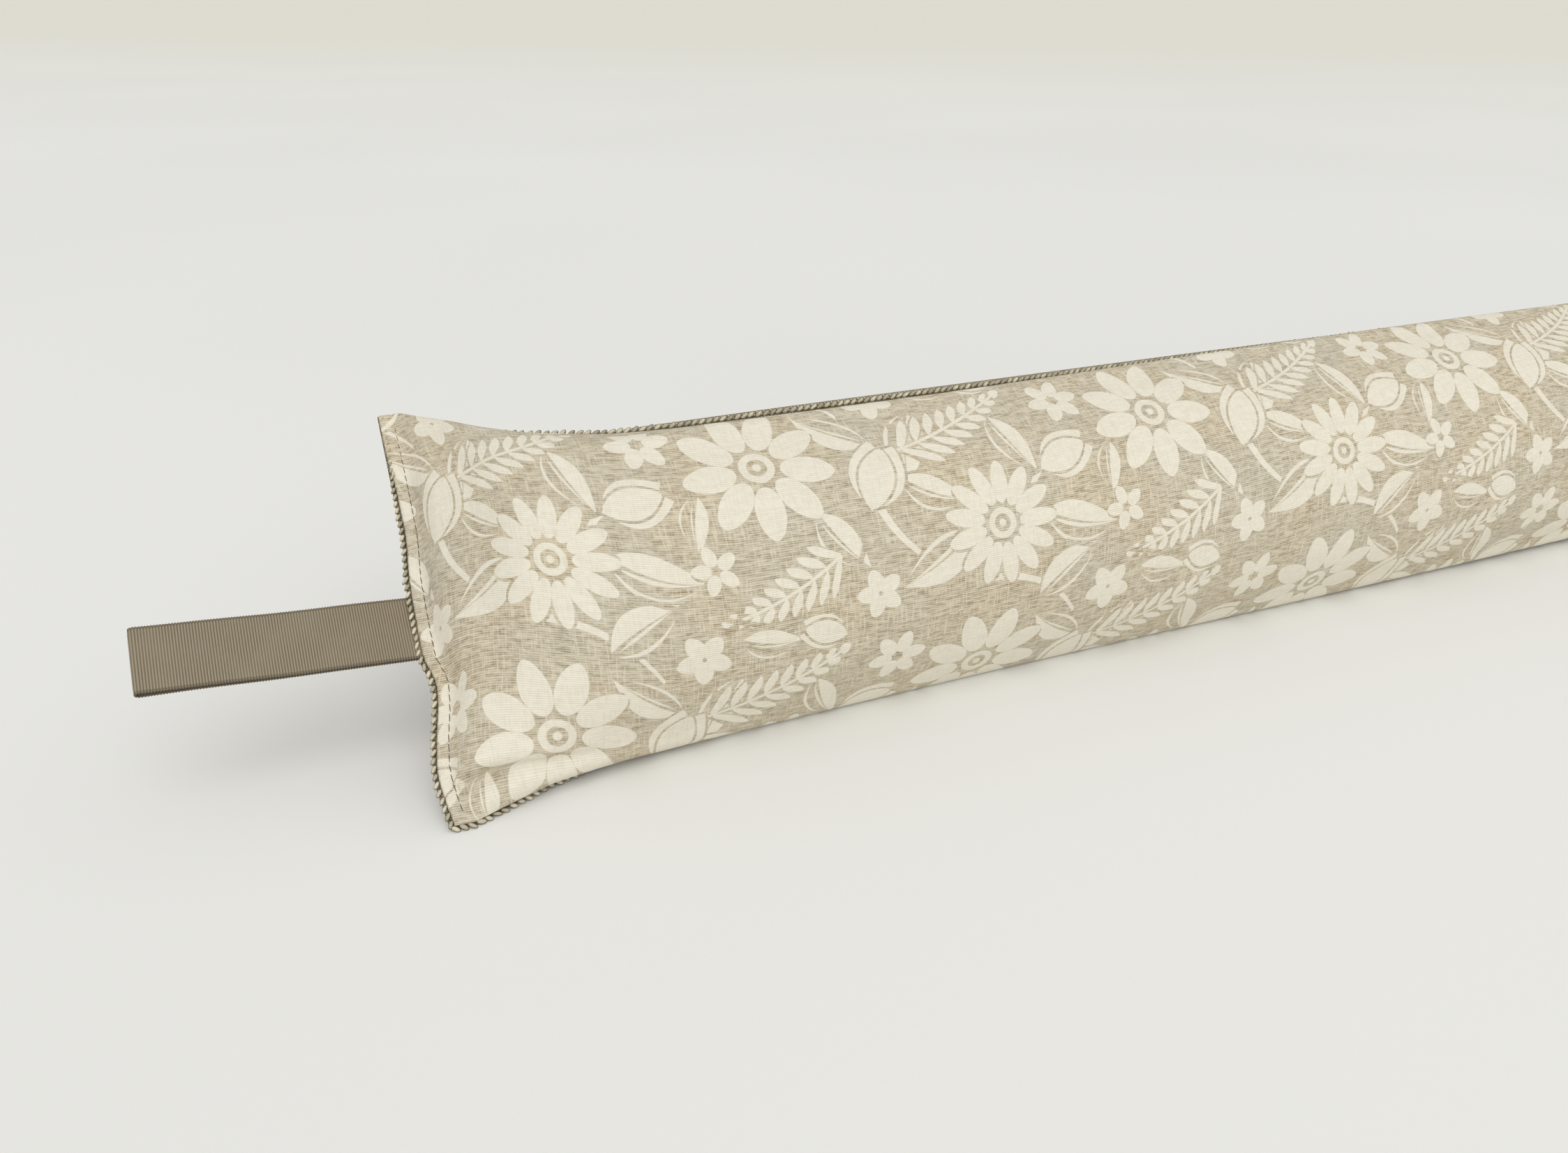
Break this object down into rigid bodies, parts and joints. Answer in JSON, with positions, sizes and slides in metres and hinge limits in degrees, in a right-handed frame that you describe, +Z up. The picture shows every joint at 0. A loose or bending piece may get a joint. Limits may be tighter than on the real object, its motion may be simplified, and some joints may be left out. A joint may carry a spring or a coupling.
{
  "type": "draught excluder",
  "caption": "Long filled cloth tube with flat sewn ends, a printed front, a coarse woven back and a folded ribbon loop at one end; lies along the foot of a door.",
  "frame": {"origin": "on the floor under the middle of the tube, on the flat that it rests on", "axes": "+X along the tube, away from the ribbon; -Y the way the printed front faces; +Z up"},
  "size_m": [0.9936, 0.1319, 0.1138],
  "materials": {
    "back_cloth": "coarse knobbly weave in grey taupe, matte",
    "front_cloth": "cotton with a fine rib and a slub crosshatch, taupe with a cream floral print, matte",
    "ribbon": "ribbed taupe ribbon, low sheen"
  },
  "bodies": {
    "root": {"filled_body": "back_cloth", "front_panel": "front_cloth", "ribbon_loop": "ribbon"}
  },
  "joints": []
}
